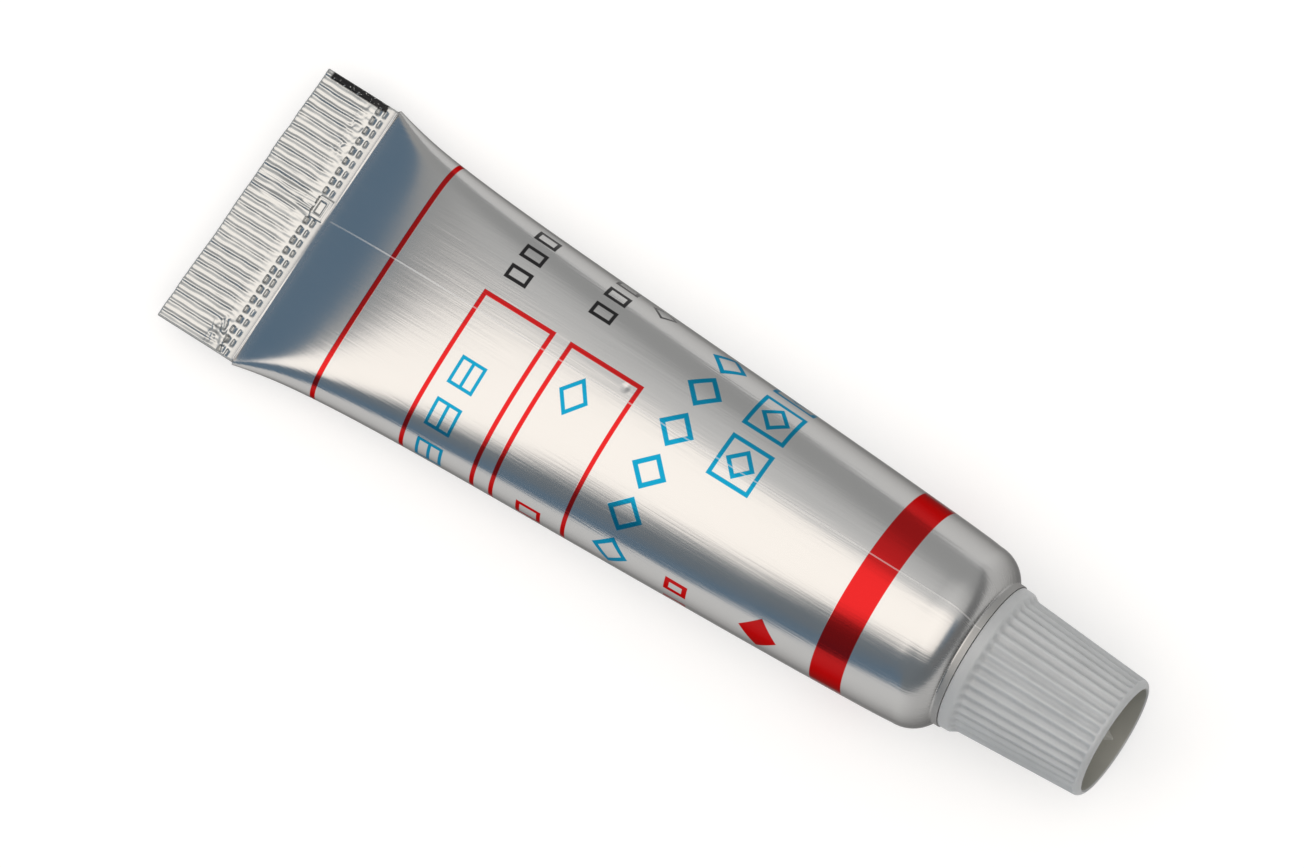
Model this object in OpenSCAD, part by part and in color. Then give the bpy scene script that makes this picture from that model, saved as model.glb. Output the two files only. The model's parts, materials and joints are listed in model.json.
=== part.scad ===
// A small aluminium tube of polishing paste, squeezed flat at its tail, with its screw cap on.
// Lengths are in millimetres. The tube is built along +X, from its tail's end at x = 0 to its cap,
// with its axis on z = 0, and is then laid on its lower side, where it comes to rest.

/* [Tube body] */
// Outer diameter of the round end of the tube
tube_d = 13.5; // [11:0.25:18]
// Length of the sleeve, from the tail's end to where the shoulder starts to round over
sleeve_l = 56.3; // [40:0.5:90]
// Share of the flat width that the ridges and folds of the tail take up
gather_share = 0.047; // [0:0.005:0.1]
// Share of the body's widening that is spread over its whole length
slow_share = 0.67; // [0.4:0.01:0.9]
// Power of the slow widening: below 1 the body stays wide for longer
slow_power = 0.8; // [0.6:0.05:1.2]
// Length over which the flare next to the tail dies out
flare_l = 6; // [3:0.5:12]
// How round the body's flats are next to the tail: 0 is flat
crown_tail_share = 0.02; // [0.02:0.01:0.2]
// How round the body's flats are half way along
crown_mid_share = 0.2; // [0.1:0.01:0.5]
// Half thickness of the body where it leaves the tail
crease_h = 0.24; // [0.18:0.02:0.4]

/* [Tail] */
// Length of the whole flattened tail, up to the crease where the body starts
tail_l = 5.8; // [4:0.1:9]
// Length of the flap that is folded over on the upper side
flap_l = 4.1; // [3:0.1:5]
// Thickness of the flattened wall
tail_t = 0.42; // [0.3:0.02:0.8]
// Thickness that the folded flap adds
flap_t = 0.38; // [0.2:0.02:0.8]
// How far the flap's side edges lie inside those of the flattened wall
flap_inset = 0.12; // [0.05:0.01:0.5]
// How far the flattened wall lies inside the body's widest place
tail_inset = 0.15; // [0.1:0.01:0.5]
// Length of the bead that the crease makes
bead_l = 0.5; // [0.3:0.05:0.8]
// Distance from one ridge of the tail to the next
ridge_pitch = 0.79; // [0.6:0.01:1.2]
// Height of a ridge
ridge_h = 0.13; // [0.05:0.01:0.2]
// Share of the pitch that each sloping side of a ridge takes
ridge_slope = 0.18; // [0.1:0.01:0.24]
// Angle between the tail's end edge and a square cut
tail_skew = 1.9; // [0:0.1:4]
// Length of the pinched pockets beside the crease
pocket_l = 0.85; // [0.4:0.05:1]
// Depth of the pinched pockets
pocket_depth = 0.1; // [0.05:0.01:0.15]
// Width of the folded tab at the middle of the flap
tab_w = 1.6; // [1:0.1:3]
// Place of the folded tab across the tail
tab_y = 1.8; // [-4:0.1:4]
// How far the folded tab reaches past the flap
tab_reach = 1.5; // [0.5:0.1:1.6]
// Thickness of the folded tab
tab_t = 0.22; // [0.1:0.02:0.4]

/* [Shoulder and neck] */
// Radius of the rounded edge of the shoulder
shoulder_r = 2.45; // [1:0.1:2.8]
// Height of the flat land that the cap screws down to
land_h = 0.45; // [0.1:0.05:0.6]
// How far the land stands out past the cap's rim
land_margin = 0.12; // [0.05:0.01:0.3]
// Outer radius of the neck
neck_r = 3.25; // [2.5:0.05:3.5]
// Length of the neck above the land
neck_l = 6.3; // [4:0.1:8]
// Radius of the mouth in the neck
mouth_r = 1.6; // [1:0.1:2]
// Depth of the foil that seals the mouth, below the neck's end
mouth_depth = 0.5; // [0.2:0.1:1.5]

/* [Cap] */
// Radius of the cap's plain rim
rim_r = 5.28; // [4.8:0.02:5.6]
// Height of the cap's plain rim
rim_h = 0.9; // [0.5:0.05:2]
// Height over which the rim narrows to the flutes
rim_slope_h = 0.25; // [0.15:0.05:1]
// Radius over the flutes next to the rim
grip_r = 5; // [4.7:0.01:5.2]
// Radius over the flutes at the end of the cap
end_r = 4.38; // [4.3:0.01:4.6]
// Whole length of the cap
cap_l = 10.5; // [9.5:0.1:14]
// Radius of the rounded edge at the end of the cap
end_round = 0.5; // [0.2:0.05:0.55]
// Number of flutes round the cap
flute_count = 40; // [24:1:44]
// Radius of a flute's hollow
flute_r = 0.3; // [0.2:0.01:0.34]
// Depth of a flute
flute_depth = 0.19; // [0.08:0.01:0.24]
// Clearance all round between the cap's bore and the neck, which the thread fills
thread_gap = 0.25; // [0.15:0.05:0.35]
// Clearance between the neck's end and the bottom of the cap's bore
neck_end_gap = 0.25; // [0.1:0.05:0.5]
// Clearance between the cap's rim and the land
rim_gap = 0.15; // [0.1:0.05:0.3]
// Width of the ring round the hollow end of the cap
end_wall = 0.7; // [0.65:0.05:1]
// Depth of the hollow end of the cap
hollow_depth = 2.4; // [1:0.1:2.4]
// Radius of the piercing spike at its foot
spike_r = 1.35; // [0.8:0.05:1.5]
// Height of the piercing spike
spike_h = 2.25; // [0.8:0.05:2.3]
// Radius of the spike's blunt tip
spike_tip_r = 0.12; // [0.05:0.01:0.3]

/* [Hidden] */

// Round surfaces are cut into this many sides, and the soft body has fewer
$fn = 96;
section_n = 48;
station_n = 30;
// Stations crowd together towards the crease, where the body changes most
station_power = 1.6;
// Solids of one piece run this far into each other where they join
bite = 0.3;
// Where the crease's bead starts, inside the tail, it has these shares of its width and height
bead_width_share = 0.97;
bead_height_share = 0.25;
// The sleeve's edge stands this far out of the shoulder's, and reaches this far over it
seam = 0.02;
seam_lap = 0.05;

tube_r = tube_d / 2;
tail_half = PI * tube_d / 4 * (1 - gather_share);
wall_half = tail_half - tail_inset;
shoulder_edge_r = tube_r * cos(180 / section_n) - seam;
body_l = sleeve_l - tail_l;
land_x = sleeve_l + shoulder_r;
land_r = rim_r + land_margin;
cap_x = land_x + rim_gap;
neck_end_x = land_x + neck_l;
bore_r = neck_r + thread_gap;
bore_depth = neck_end_x + neck_end_gap - cap_x;
hollow_r = end_r - end_wall;
taper = atan((grip_r - end_r) / (cap_l - rim_h - rim_slope_h));

// Girth of the body: the sheet can't stretch, so a wider section is a thinner one
crease_girth_r = crease_h + (tail_half - crease_h) * 2 / PI;
function along(x) = (x - tail_l) / body_l;
function flare(x) = exp(-(x - tail_l) / flare_l) * (1 - along(x));
function half_width(x) = tube_r + (tail_half - tube_r)
    * (slow_share * pow(max(0, 1 - along(x)), slow_power) + (1 - slow_share) * flare(x));
function girth_r(x) = tube_r - (tube_r - crease_girth_r) * flare(x);
// A section is a flat oval with a round edge added all the way round it.
// The crown is the oval's height over its width: it grows to 1, a circle, at the shoulder.
function crown(x) = let(u = along(x))
    crown_tail_share + (crown_mid_share - crown_tail_share) * sin(90 * min(1, 2 * u)) + (1 - crown_mid_share) * pow(u, 8);
function oval_girth(k) = PI * (3 * (1 + k) - sqrt((3 + k) * (1 + 3 * k)));
function oval_half(x) = along(x) > 0.999 ? 0
    : max(0, (half_width(x) - girth_r(x)) / (1 - oval_girth(crown(x)) / (2 * PI)));
function edge_r(x) = girth_r(x) - oval_half(x) * oval_girth(crown(x)) / (2 * PI);
function half_height(x) = crown(x) * oval_half(x) + edge_r(x);

function section_point(x, angle) =
    let(k = crown(x), f = oval_half(x), r = edge_r(x),
        a = atan2(sqrt(k) * sin(angle), cos(angle)),
        nrm = sqrt(pow(k * cos(a), 2) + pow(sin(a), 2)))
    [x, f * cos(a) + r * k * cos(a) / nrm, k * f * sin(a) + r * sin(a) / nrm];

function station(j) = tail_l + body_l * pow(j / station_n, station_power);

// The tube rests on two places: a line under its body and the edge of its shoulder
rest_slope = min([for (j = [0 : station_n - 1])
    (tube_r - half_height(station(j))) / (sleeve_l - station(j))]);
rest_angle = atan(rest_slope);
rest_lift = tube_r * cos(rest_angle) - sleeve_l * sin(rest_angle);
cap_end_x = cap_x + cap_l;
end_round_r = end_r + end_round * tan(taper) - end_round / cos(taper);
far_x = (cap_end_x - end_round) * cos(rest_angle) + end_round_r * sin(rest_angle) + end_round;
near_x = -(tail_t / 2 + flap_t + ridge_h / 2) * sin(rest_angle);

module lay_down() {
    translate([-(far_x + near_x) / 2, 0, rest_lift]) rotate([0, -rest_angle, 0]) children();
}

// The soft body, from the bead at its crease to the shoulder
module body() {
    bead = [for (i = [0 : section_n - 1])
        let(p = section_point(tail_l, 360 * i / section_n))
        [tail_l - bead_l, bead_width_share * p[1], bead_height_share * p[2]]];
    points = concat(bead, [for (j = [0 : station_n]) for (i = [0 : section_n - 1])
        section_point(station(j), 360 * i / section_n)]);
    sides = [for (j = [0 : station_n]) for (i = [0 : section_n - 1])
        let(a = j * section_n + i, b = j * section_n + (i + 1) % section_n)
        each [[a, a + section_n, b + section_n], [a, b + section_n, b]]];
    tail_end = [for (i = [0 : section_n - 1]) i];
    shoulder_end = [for (i = [section_n - 1 : -1 : 0]) (station_n + 1) * section_n + i];
    polyhedron(points, concat(sides, [tail_end, shoulder_end]));
}

// Heights of the ridges across the tail, as corner points from one side edge to the other
ridge_n = floor(2 * (wall_half - flap_inset) / ridge_pitch);
ridge_start = -ridge_n * ridge_pitch / 2;
function ridge_line(z, half) = concat(
    [[-half, z - ridge_h / 2]],
    [for (i = [0 : ridge_n - 1])
        let(y = ridge_start + i * ridge_pitch, s = ridge_slope * ridge_pitch / 2)
        each [[y + ridge_pitch / 4 - s, z - ridge_h / 2], [y + ridge_pitch / 4 + s, z + ridge_h / 2],
              [y + ridge_pitch * 3 / 4 - s, z + ridge_h / 2],
              [y + ridge_pitch * 3 / 4 + s, z - ridge_h / 2]]],
    [[half, z - ridge_h / 2]]);
function back_to_front(line) = [for (i = [len(line) - 1 : -1 : 0]) line[i]];

// A ridged sheet between two heights, running along the tube from x = 0
module ridged_sheet(low, high, half, length) {
    rotate([90, 0, 90]) linear_extrude(length)
        polygon(concat(ridge_line(low, half), back_to_front(ridge_line(high, half))));
}

module pockets() {
    for (i = [0 : ridge_n - 1])
        translate([flap_l + (tail_l - flap_l - pocket_l) / 2,
                   ridge_start + (i + 0.5) * ridge_pitch - ridge_pitch / 8,
                   tail_t / 2 + ridge_h / 2 - pocket_depth])
            cube([pocket_l, ridge_pitch / 4, pocket_depth + bite]);
}

module tail() {
    top = tail_t / 2 + ridge_h / 2;
    difference() {
        union() {
            difference() {
                ridged_sheet(-tail_t / 2, tail_t / 2, wall_half, tail_l + bite);
                pockets();
            }
            ridged_sheet(0, tail_t / 2 + flap_t, wall_half - flap_inset, flap_l);
            translate([flap_l - bite, tab_y - tab_w / 2, 0])
                cube([tab_reach + bite, tab_w, top + tab_t]);
        }
        // The end edge runs a little askew
        translate([0, -tail_half, 0]) rotate([0, 0, -tail_skew])
            translate([-tail_l, -tail_half, -tail_l]) cube([tail_l, 4 * tail_half, 2 * tail_l]);
    }
}

module shoulder_outline() {
    square([shoulder_edge_r - shoulder_r, shoulder_r + bite]);
    polygon([[0, 0], [shoulder_edge_r - bite, 0], [shoulder_edge_r, bite - seam_lap],
             [shoulder_edge_r, bite], [0, bite]]);
    translate([shoulder_edge_r - shoulder_r, bite]) intersection() {
        circle(shoulder_r);
        square(shoulder_r);
    }
    translate([0, bite + shoulder_r - land_h]) square([land_r, land_h]);
    translate([0, bite + shoulder_r - land_h]) square([neck_r, neck_l + land_h]);
}

module shoulder_and_neck() {
    translate([sleeve_l - bite, 0, 0]) rotate([0, 90, 0]) difference() {
        rotate_extrude() shoulder_outline();
        translate([0, 0, bite + shoulder_r + neck_l - mouth_depth]) cylinder(r = mouth_r, h = neck_l);
    }
}

module tube() {
    color("silver") lay_down() union() {
        tail();
        body();
        shoulder_and_neck();
    }
}

module cap_outline() {
    round_z = cap_l - end_round;
    difference() {
        union() {
            polygon([[0, 0], [rim_r, 0], [rim_r, rim_h], [grip_r, rim_h + rim_slope_h],
                     [end_round_r + end_round * cos(taper), round_z + end_round * sin(taper)],
                     [end_round_r, round_z], [end_round_r, cap_l], [0, cap_l]]);
            translate([end_round_r, round_z]) circle(end_round);
        }
        square([bore_r, bore_depth]);
        translate([0, cap_l - hollow_depth]) square([hollow_r, hollow_depth + end_round]);
    }
    // The spike that pierces the foil stands in the hollow end
    translate([0, cap_l - hollow_depth - bite]) square([spike_r, bite]);
    translate([0, cap_l - hollow_depth]) polygon([[0, 0], [spike_r, 0], [spike_tip_r, spike_h], [0, spike_h]]);
}

module flute() {
    translate([grip_r + flute_r - flute_depth, 0, rim_h + rim_slope_h]) rotate([0, -taper, 0]) {
        sphere(flute_r);
        cylinder(r = flute_r, h = cap_l);
    }
}

module cap() {
    color("gainsboro") lay_down() translate([cap_x, 0, 0]) rotate([0, 90, 0]) difference() {
        rotate_extrude() cap_outline();
        for (i = [0 : flute_count - 1]) rotate([0, 0, 360 * i / flute_count]) flute();
    }
}

tube();
cap();
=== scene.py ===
"""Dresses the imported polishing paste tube: its printed aluminium skin, its ridged tail and its fluted cap."""

import json
import math

import bpy
import numpy as np
from bpy.props import FloatProperty, FloatVectorProperty, IntProperty, PointerProperty
from mathutils import Matrix, Vector


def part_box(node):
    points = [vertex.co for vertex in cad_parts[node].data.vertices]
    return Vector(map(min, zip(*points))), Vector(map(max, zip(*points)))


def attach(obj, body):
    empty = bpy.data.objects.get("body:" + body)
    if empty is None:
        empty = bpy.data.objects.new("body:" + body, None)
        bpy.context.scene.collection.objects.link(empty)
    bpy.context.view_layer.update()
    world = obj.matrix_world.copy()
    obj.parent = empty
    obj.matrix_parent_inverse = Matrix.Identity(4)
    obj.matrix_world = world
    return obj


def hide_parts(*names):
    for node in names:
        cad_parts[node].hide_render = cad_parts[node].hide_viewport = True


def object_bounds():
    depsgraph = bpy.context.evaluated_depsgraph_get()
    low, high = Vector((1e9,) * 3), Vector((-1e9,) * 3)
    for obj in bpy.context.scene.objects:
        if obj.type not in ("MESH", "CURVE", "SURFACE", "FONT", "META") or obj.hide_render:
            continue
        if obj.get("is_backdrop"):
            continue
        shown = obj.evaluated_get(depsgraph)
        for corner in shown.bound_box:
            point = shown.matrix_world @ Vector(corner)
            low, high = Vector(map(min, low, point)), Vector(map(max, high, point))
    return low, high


bl_info = {
    "name": "Polishing Paste Tube",
    "version": (1, 0, 0),
    "blender": (4, 5, 0),
    "location": "3D View > Sidebar > Paste Tube",
    "description": "Makes a small printed aluminium tube with a ridged tail and a fluted screw cap",
    "category": "Add Mesh",
}

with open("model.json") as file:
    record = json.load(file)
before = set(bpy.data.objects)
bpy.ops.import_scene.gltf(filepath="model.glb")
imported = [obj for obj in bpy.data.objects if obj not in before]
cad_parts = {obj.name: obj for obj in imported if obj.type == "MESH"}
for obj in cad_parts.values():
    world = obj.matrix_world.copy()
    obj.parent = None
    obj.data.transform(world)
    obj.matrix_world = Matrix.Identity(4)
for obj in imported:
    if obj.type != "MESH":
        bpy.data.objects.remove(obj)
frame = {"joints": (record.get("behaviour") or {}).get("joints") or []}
CAD_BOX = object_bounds()

MM = 0.001
FULL_TURN = 2 * math.pi
QUARTER = math.pi / 2
SHEET = "sheet"
SEED = 7


def length(label, millimetres, description):
    """A size, given in millimetres and kept in metres."""
    return FloatProperty(name=label, description=description, default=millimetres * MM, unit="LENGTH",
                         precision=5)


def span(label, millimetres, description):
    """Two places, given in millimetres and kept in metres, between which something starts or fades."""
    return FloatVectorProperty(name=label, description=description, default=[v * MM for v in millimetres],
                               size=2, unit="LENGTH", precision=5)


def angle(label, radians, description):
    return FloatProperty(name=label, description=description, default=radians, subtype="ANGLE")


def number(label, value, description):
    """A share, a power or another plain number."""
    return FloatProperty(name=label, description=description, default=value)


def pair(label, value, description):
    """Two plain numbers, such as the start and the end of a soft edge."""
    return FloatVectorProperty(name=label, description=description, default=value, size=2)


def count_of(label, value, description):
    return IntProperty(name=label, description=description, default=value)


def colour(label, value, description, brightest=1):
    return FloatVectorProperty(name=label, description=description, default=value, size=3, subtype="COLOR",
                               min=0, max=brightest)


class BodySizes(bpy.types.PropertyGroup):
    """Sizes of the tube's sleeve, shoulder and neck"""
    tube_d: length("Diameter", 13.5, "Outer diameter of the round end of the tube")
    sleeve_l: length("Sleeve length", 56.3, "From the tail's end to where the shoulder starts to round over")
    tail_l: length("Tail length", 5.8, "Whole length of the flattened tail")
    gather_share: number("Gather", 0.047, "Share of the flat width that the ridges take up")
    slow_share: number("Slow share", 0.67, "Share of the widening that is spread over the whole body")
    slow_power: number("Slow power", 0.8, "Power of the slow widening")
    flare_l: length("Flare length", 6.0, "Length over which the flare next to the tail dies out")
    crown_tail_share: number("Crown at the tail", 0.02, "How round the body's flats are next to the tail")
    crown_mid_share: number("Crown half way", 0.38, "How round the body's flats are half way along")
    crown_power: number("Crown power", 1.3, "Power of the rise of the crown to its value half way")
    crease_h: length("Crease height", 0.24, "Half thickness of the body where it leaves the tail")
    shoulder_r: length("Shoulder radius", 2.45, "Radius of the shoulder's rounded edge")
    land_r: length("Land radius", 5.4, "Radius of the land")
    neck_r: length("Neck radius", 3.25, "Radius of the neck without its thread")
    neck_l: length("Neck length", 6.3, "Length of the neck above the land")
    mouth_r: length("Mouth radius", 1.6, "Radius of the mouth in the neck")
    mouth_depth: length("Foil depth", 0.5, "Depth of the sealing foil below the neck's end")
    thread_pitch: length("Thread pitch", 1.6, "Distance from one turn of the screw thread to the next")
    thread_h: length("Thread height", 0.17, "Height of the thread on the neck")
    thread_ends: span("Thread ends", (0.9, 0.5), "How far the thread stays from the land and the neck's end")
    wave_h: length("Hand waves", 0.03, "Height of the slow waves that handling leaves in the thin wall")
    wave_l: length("Hand wave length", 7.0, "Length of the slow waves")
    bead: length("Land edge", 0.03, "Radius of the land's rounded edge")
    neck_foot_r: length("Neck foot", 0.25, "Radius of the round corner between the land and the neck")
    lip_r: length("Lip", 0.15, "Radius of the neck's rounded outer edge")
    mouth_edge_r: length("Mouth edge", 0.12, "Radius of the mouth's rounded edge")
    section_n: count_of("Points round the body", 176, "Points round each section")
    station_n: count_of("Body stations", 120, "Sections along the body")


class TailSizes(bpy.types.PropertyGroup):
    """Sizes of the flattened and folded tail"""
    flap_l: length("Flap length", 4.1, "Length of the folded flap on the upper side")
    wall_t: length("Wall thickness", 0.42, "Thickness of the flattened wall")
    flap_t: length("Flap thickness", 0.38, "Thickness that the flap adds")
    edge_inset: length("Edge inset", 0.15, "How far the tail lies inside the body's widest place")
    edge_round: length("Edge rounding", 0.13, "Rounding of the tail's side edges")
    fold_round: length("Fold rounding", 0.14, "Rounding of the fold at the tail's end")
    ridge_pitch: length("Ridge pitch", 0.79, "Distance from one ridge to the next")
    ridge_h: length("Ridge height", 0.066, "Height of a ridge")
    ridge_odds: number("Ridge odds", 0.4, "How much taller the first of each pair of ridges is")
    slow_sway: number("Slow sway", 0.05, "Slow sway of the ridges, as a share of their pitch")
    quick_sway: number("Quick sway", 0.035, "Quick sway of the ridges, as a share of their pitch")
    skew: angle("End skew", math.radians(1.45), "Angle of the end edge")
    start_x: length("End place", 0.07, "Where the tail's lower corner lies")
    flap_drop_x: length("Flap foot", 5.1, "Where the slope below the flap ends")
    first_pit_x: length("First dimples", 4.94, "Deepest line of the first row of dimples")
    first_pit_h: length("First dimple depth", 0.18, "Depth of the first row of dimples")
    first_pit_l: length("First dimple slope", 0.34, "Length of the long slope of the first dimples")
    second_pit_x: length("Second dimples", 5.48, "Deepest line of the second row of dimples")
    second_pit_h: length("Second dimple depth", 0.125, "Depth of the second row of dimples")
    second_pit_l: length("Second dimple slope", 0.24, "Length of the long slope of the second dimples")
    pit_wall_l: length("Dimple wall", 0.12, "Length of the short wall of a dimple")
    crease_skew: angle("Crease skew", math.radians(0.5), "Angle of the dimples and the crease")
    end_x: length("Crease place", 6.14, "Where the flat strip along the crease ends and the body rises")
    crease_round: length("Crease rounding", 0.32, "Half length of the rounded foot of the body's rise")
    crease_top: length("Crease strip", 0.47, "Half thickness of the flat strip along the crease")
    settle_x: length("Settle place", 10.5, "Where the body has its packed shape again")
    tab_y: length("Tab place", 1.75, "Place of the pressed tab across the tail")
    tab_w: length("Tab width", 1.6, "Width of the pressed tab")
    tab_x: length("Tab start", 5.0, "Where the pressed tab starts")
    tab_end_x: length("Tab end", 6.0, "How far along the tube the pressed tab reaches")
    tab_t: length("Tab thickness", 0.16, "Thickness of the pressed tab")
    tab_grooves: span("Tab grooves", (0.13, 0.27), "How far the tab's two grooves lie inside its edge")
    tab_groove_w: length("Tab groove width", 0.035, "Half width of the tab's grooves")
    tab_hollow: span("Tab hollow", (0.3, 0.4), "Where the tab's hollow starts and is whole, inside its edge")
    corner_x: length("Corner place", 4.35, "Middle of the crumpled corner, along the tube")
    corner_l: length("Corner length", 0.75, "Half length of the crumpled corner")
    corner_y: span("Corner span", (-6.9, -8.4), "Where the crumple starts and is whole, across the tail")
    corner_h: length("Corner folds", 0.26, "Height of the crumpled corner's folds")
    rough_y: length("Rough place", 1.5, "Middle of the rough ridges, across the tail")
    rough_w: length("Rough width", 1.2, "Half width of the rough ridges")
    rough_x: span("Rough span", (5.2, 4.6), "Where the rough ridges start and are whole, along the tube")
    rough_h: length("Rough height", 0.085, "Height of the grit on the rough ridges")
    nick_x: length("Nick place", 4.3, "Middle of the nicks, along the tube")
    nick_l: length("Nick length", 0.6, "Half length of the nicked stretch")
    nick_y: span("Nick span", (4.0, 6.5), "Where the nicks start and are whole, across the tail")
    nick_h: length("Nick height", 0.14, "Height of the nicks")
    crinkle_x: span("Crinkle span", (5.6, 4.8), "Where the crinkle starts and is whole, along the tube")
    crinkle_h: length("Crinkle height", 0.016, "Height of the fine crinkle all over the tail")
    points_n: count_of("Points round the tail", 704, "Points round each section")
    station_n: count_of("Tail stations", 66, "Sections along the tail")


class CapSizes(bpy.types.PropertyGroup):
    """Sizes of the screw cap"""
    rim_gap: length("Rim gap", 0.15, "Clearance between the cap's rim and the land, as packed")
    rim_shift: length("Rim shift", 0.15, "How far the rim's edge lies back from its packed place")
    land_reach: length("Land reach", 0.28, "How far the land reaches past its packed place")
    rim_r: length("Rim radius", 5.28, "Radius of the plain rim")
    rim_h: length("Rim height", 0.9, "Height of the plain rim")
    rim_slope_h: length("Rim slope", 0.25, "Height over which the rim narrows to the flutes")
    grip_r: length("Grip radius", 5.0, "Radius over the flutes next to the rim")
    end_r: length("End radius", 4.38, "Radius over the flutes at the end")
    cap_l: length("Cap length", 10.5, "Whole length of the cap")
    end_round: length("End rounding", 0.5, "Radius of the rounded edge at the end")
    flute_depth: length("Flute depth", 0.165, "Depth of a flute")
    thread_gap: length("Thread gap", 0.25, "Clearance all round between the bore and the neck")
    neck_end_gap: length("Neck end gap", 0.25, "Clearance between the neck's end and the bore's bottom")
    end_wall: length("End wall", 0.5, "Width of the ring round the hollow end")
    hollow_depth: length("Hollow depth", 2.4, "Depth of the hollow end")
    spike_r: length("Spike radius", 1.35, "Radius of the spike at its foot")
    spike_h: length("Spike height", 2.25, "Height of the spike")
    spike_tip_r: length("Spike tip", 0.12, "Radius of the spike's blunt tip")
    thread_h: length("Thread height", 0.15, "Height of the thread in the bore")
    thread_ends: span("Thread ends", (0.6, 0.5), "How far the thread stays from both ends of the bore")
    rim_edge_r: length("Rim edge", 0.06, "Radius of the rim's rounded outer edge")
    rim_bore_edge: length("Bore edge", 0.15, "Width of the slope at the bore's mouth")
    rim_draft: length("Rim draft", 0.03, "How far the rim narrows over its height")
    bore_round: length("Bore rounding", 0.3, "Radius of the round corner at the bore's bottom")
    hollow_round: length("Hollow rounding", 0.3, "Radius of the round corner at the bottom of the hollow end")
    hollow_edge_r: length("Hollow edge", 0.1, "Radius of the rounded edge of the hollow end")
    flute_power: number("Flute power", 1.15, "How much of a flute's pitch its hollow takes up")
    flute_run_l: length("Flute run-out", 0.5, "Length over which a flute gets its depth next to the rim")
    flute_count: count_of("Flutes", 40, "Number of flutes round the cap")
    points_per_flute: count_of("Points for each flute", 12, "Points round each flute")


class PrintSizes(bpy.types.PropertyGroup):
    """Places of the print on the sheet: along the tube from its tail, and round it from its top line"""
    soft: length("Ink edge", 0.022, "Half width of the soft edge of the ink")
    line_w: length("Line width", 0.33, "Width of the frames' red lines")
    thin_ring_x: length("Thin ring", 11.79, "Where the thin red ring starts")
    thin_ring_w: length("Thin ring width", 0.37, "Width of the thin red ring")
    band_x: length("Band", 50.26, "Where the wide red band starts")
    band_w: length("Band width", 2.36, "Width of the wide red band")
    first_frame_x: length("First frame", 18.6, "Where the first frame starts")
    first_frame_l: length("First frame length", 5.8, "Size of the first frame along the tube")
    second_frame_x: length("Second frame", 25.54, "Where the second frame starts")
    second_frame_l: length("Second frame length", 5.9, "Size of the second frame along the tube")
    frame_top_v: length("Frame top", -2.8, "Where both frames start, round the tube")
    frame_end_v: length("Frame end", 12.4, "Where both frames end, round the tube")
    seam_v: length("Seam", -1.37, "Where the lacquer's lap runs, round the tube")
    seam_w: length("Seam width", 0.07, "Width of the lacquer's lap")
    edge_strip_v: length("Edge strip", -10.0, "Where the black strip along the tail's edge starts")
    edge_strip_x: length("Edge strip start", 1.0, "Where the black strip starts, along the tube")
    edge_strip_l: length("Edge strip length", 4.6, "Length of the black strip")
    dent_x: length("Dent along", 30.4, "Where a small dent lies, along the tube")
    dent_v: length("Dent round", -2.1, "Where the small dent lies, round the tube")
    dent_r: length("Dent radius", 0.42, "Radius of the small dent")


class FinishColours(bpy.types.PropertyGroup):
    """Colours of the metal, the inks, the plastic and the floor"""
    body_metal: colour("Lacquered aluminium", (0.465, 0.465, 0.462), "Aluminium under its satin lacquer")
    bare_metal: colour("Shoulder aluminium", (0.36, 0.36, 0.357), "Duller aluminium of the shoulder and neck")
    tail_metal: colour("Bare aluminium", (0.45, 0.457, 0.452), "Aluminium where the tail is pressed")
    red_ink: colour("Red ink", (0.44, 0.014, 0.015), "Rings, band and frames")
    blue_ink: colour("Blue ink", (0.004, 0.218, 0.37), "Blue marks")
    black_ink: colour("Black ink", (0.012, 0.012, 0.013), "Black marks")
    cap_plastic: colour("Cap plastic", (0.445, 0.462, 0.475), "White plastic of the cap")
    # The darker, olive plastic inside the cap is painted shade: the same plastic, darkened where little light
    # gets in.
    cap_inside_shade: colour("Plastic inside, painted shade", (0.33, 0.33, 0.3), "Plastic in the cap's bore and in its hollow end")
    cloud_metal: colour("Clouded aluminium", (0.5, 0.5, 0.5), "Slow clouds in the lacquer")
    lap: colour("Lacquer lap", (0.85, 0.85, 0.85), "Line where the lacquer laps over itself")
    floor: colour("Floor", (0.6, 0.6, 0.6), "Plain pale floor")


class StageSizes(bpy.types.PropertyGroup):
    """The camera and the floor"""
    distance: length("Camera distance", 800, "From the middle of the tube to the camera")
    target_x: length("Target along", -2.5123, "Where the camera points, along the tube")
    target_y: length("Target across", 0.9114, "Where the camera points, across the tube")
    target_z: length("Target height", 4.0, "Where the camera points, above the floor")
    lean_to_cap: angle("Lean to the cap", 0.1522, "How far the camera leans towards the cap")
    lean_across: angle("Lean across", -0.0742, "How far the camera leans across the tube")
    roll: angle("Roll", 0.5784, "Turn of the picture about the line of sight")
    pixels_per_metre: number("Picture scale", 15228.9, "Pixels of the picture for a metre at the target")
    picture_w: count_of("Picture width", 1304, "Width of the picture in pixels")
    sensor_w: number("Sensor width", 36, "Width of the camera's sensor in millimetres")
    floor_half: length("Floor", 4000, "Half of the floor's width")
    floor_glow: number("Floor glow", 0.45, "Light that the floor adds so that it shows white")


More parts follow.
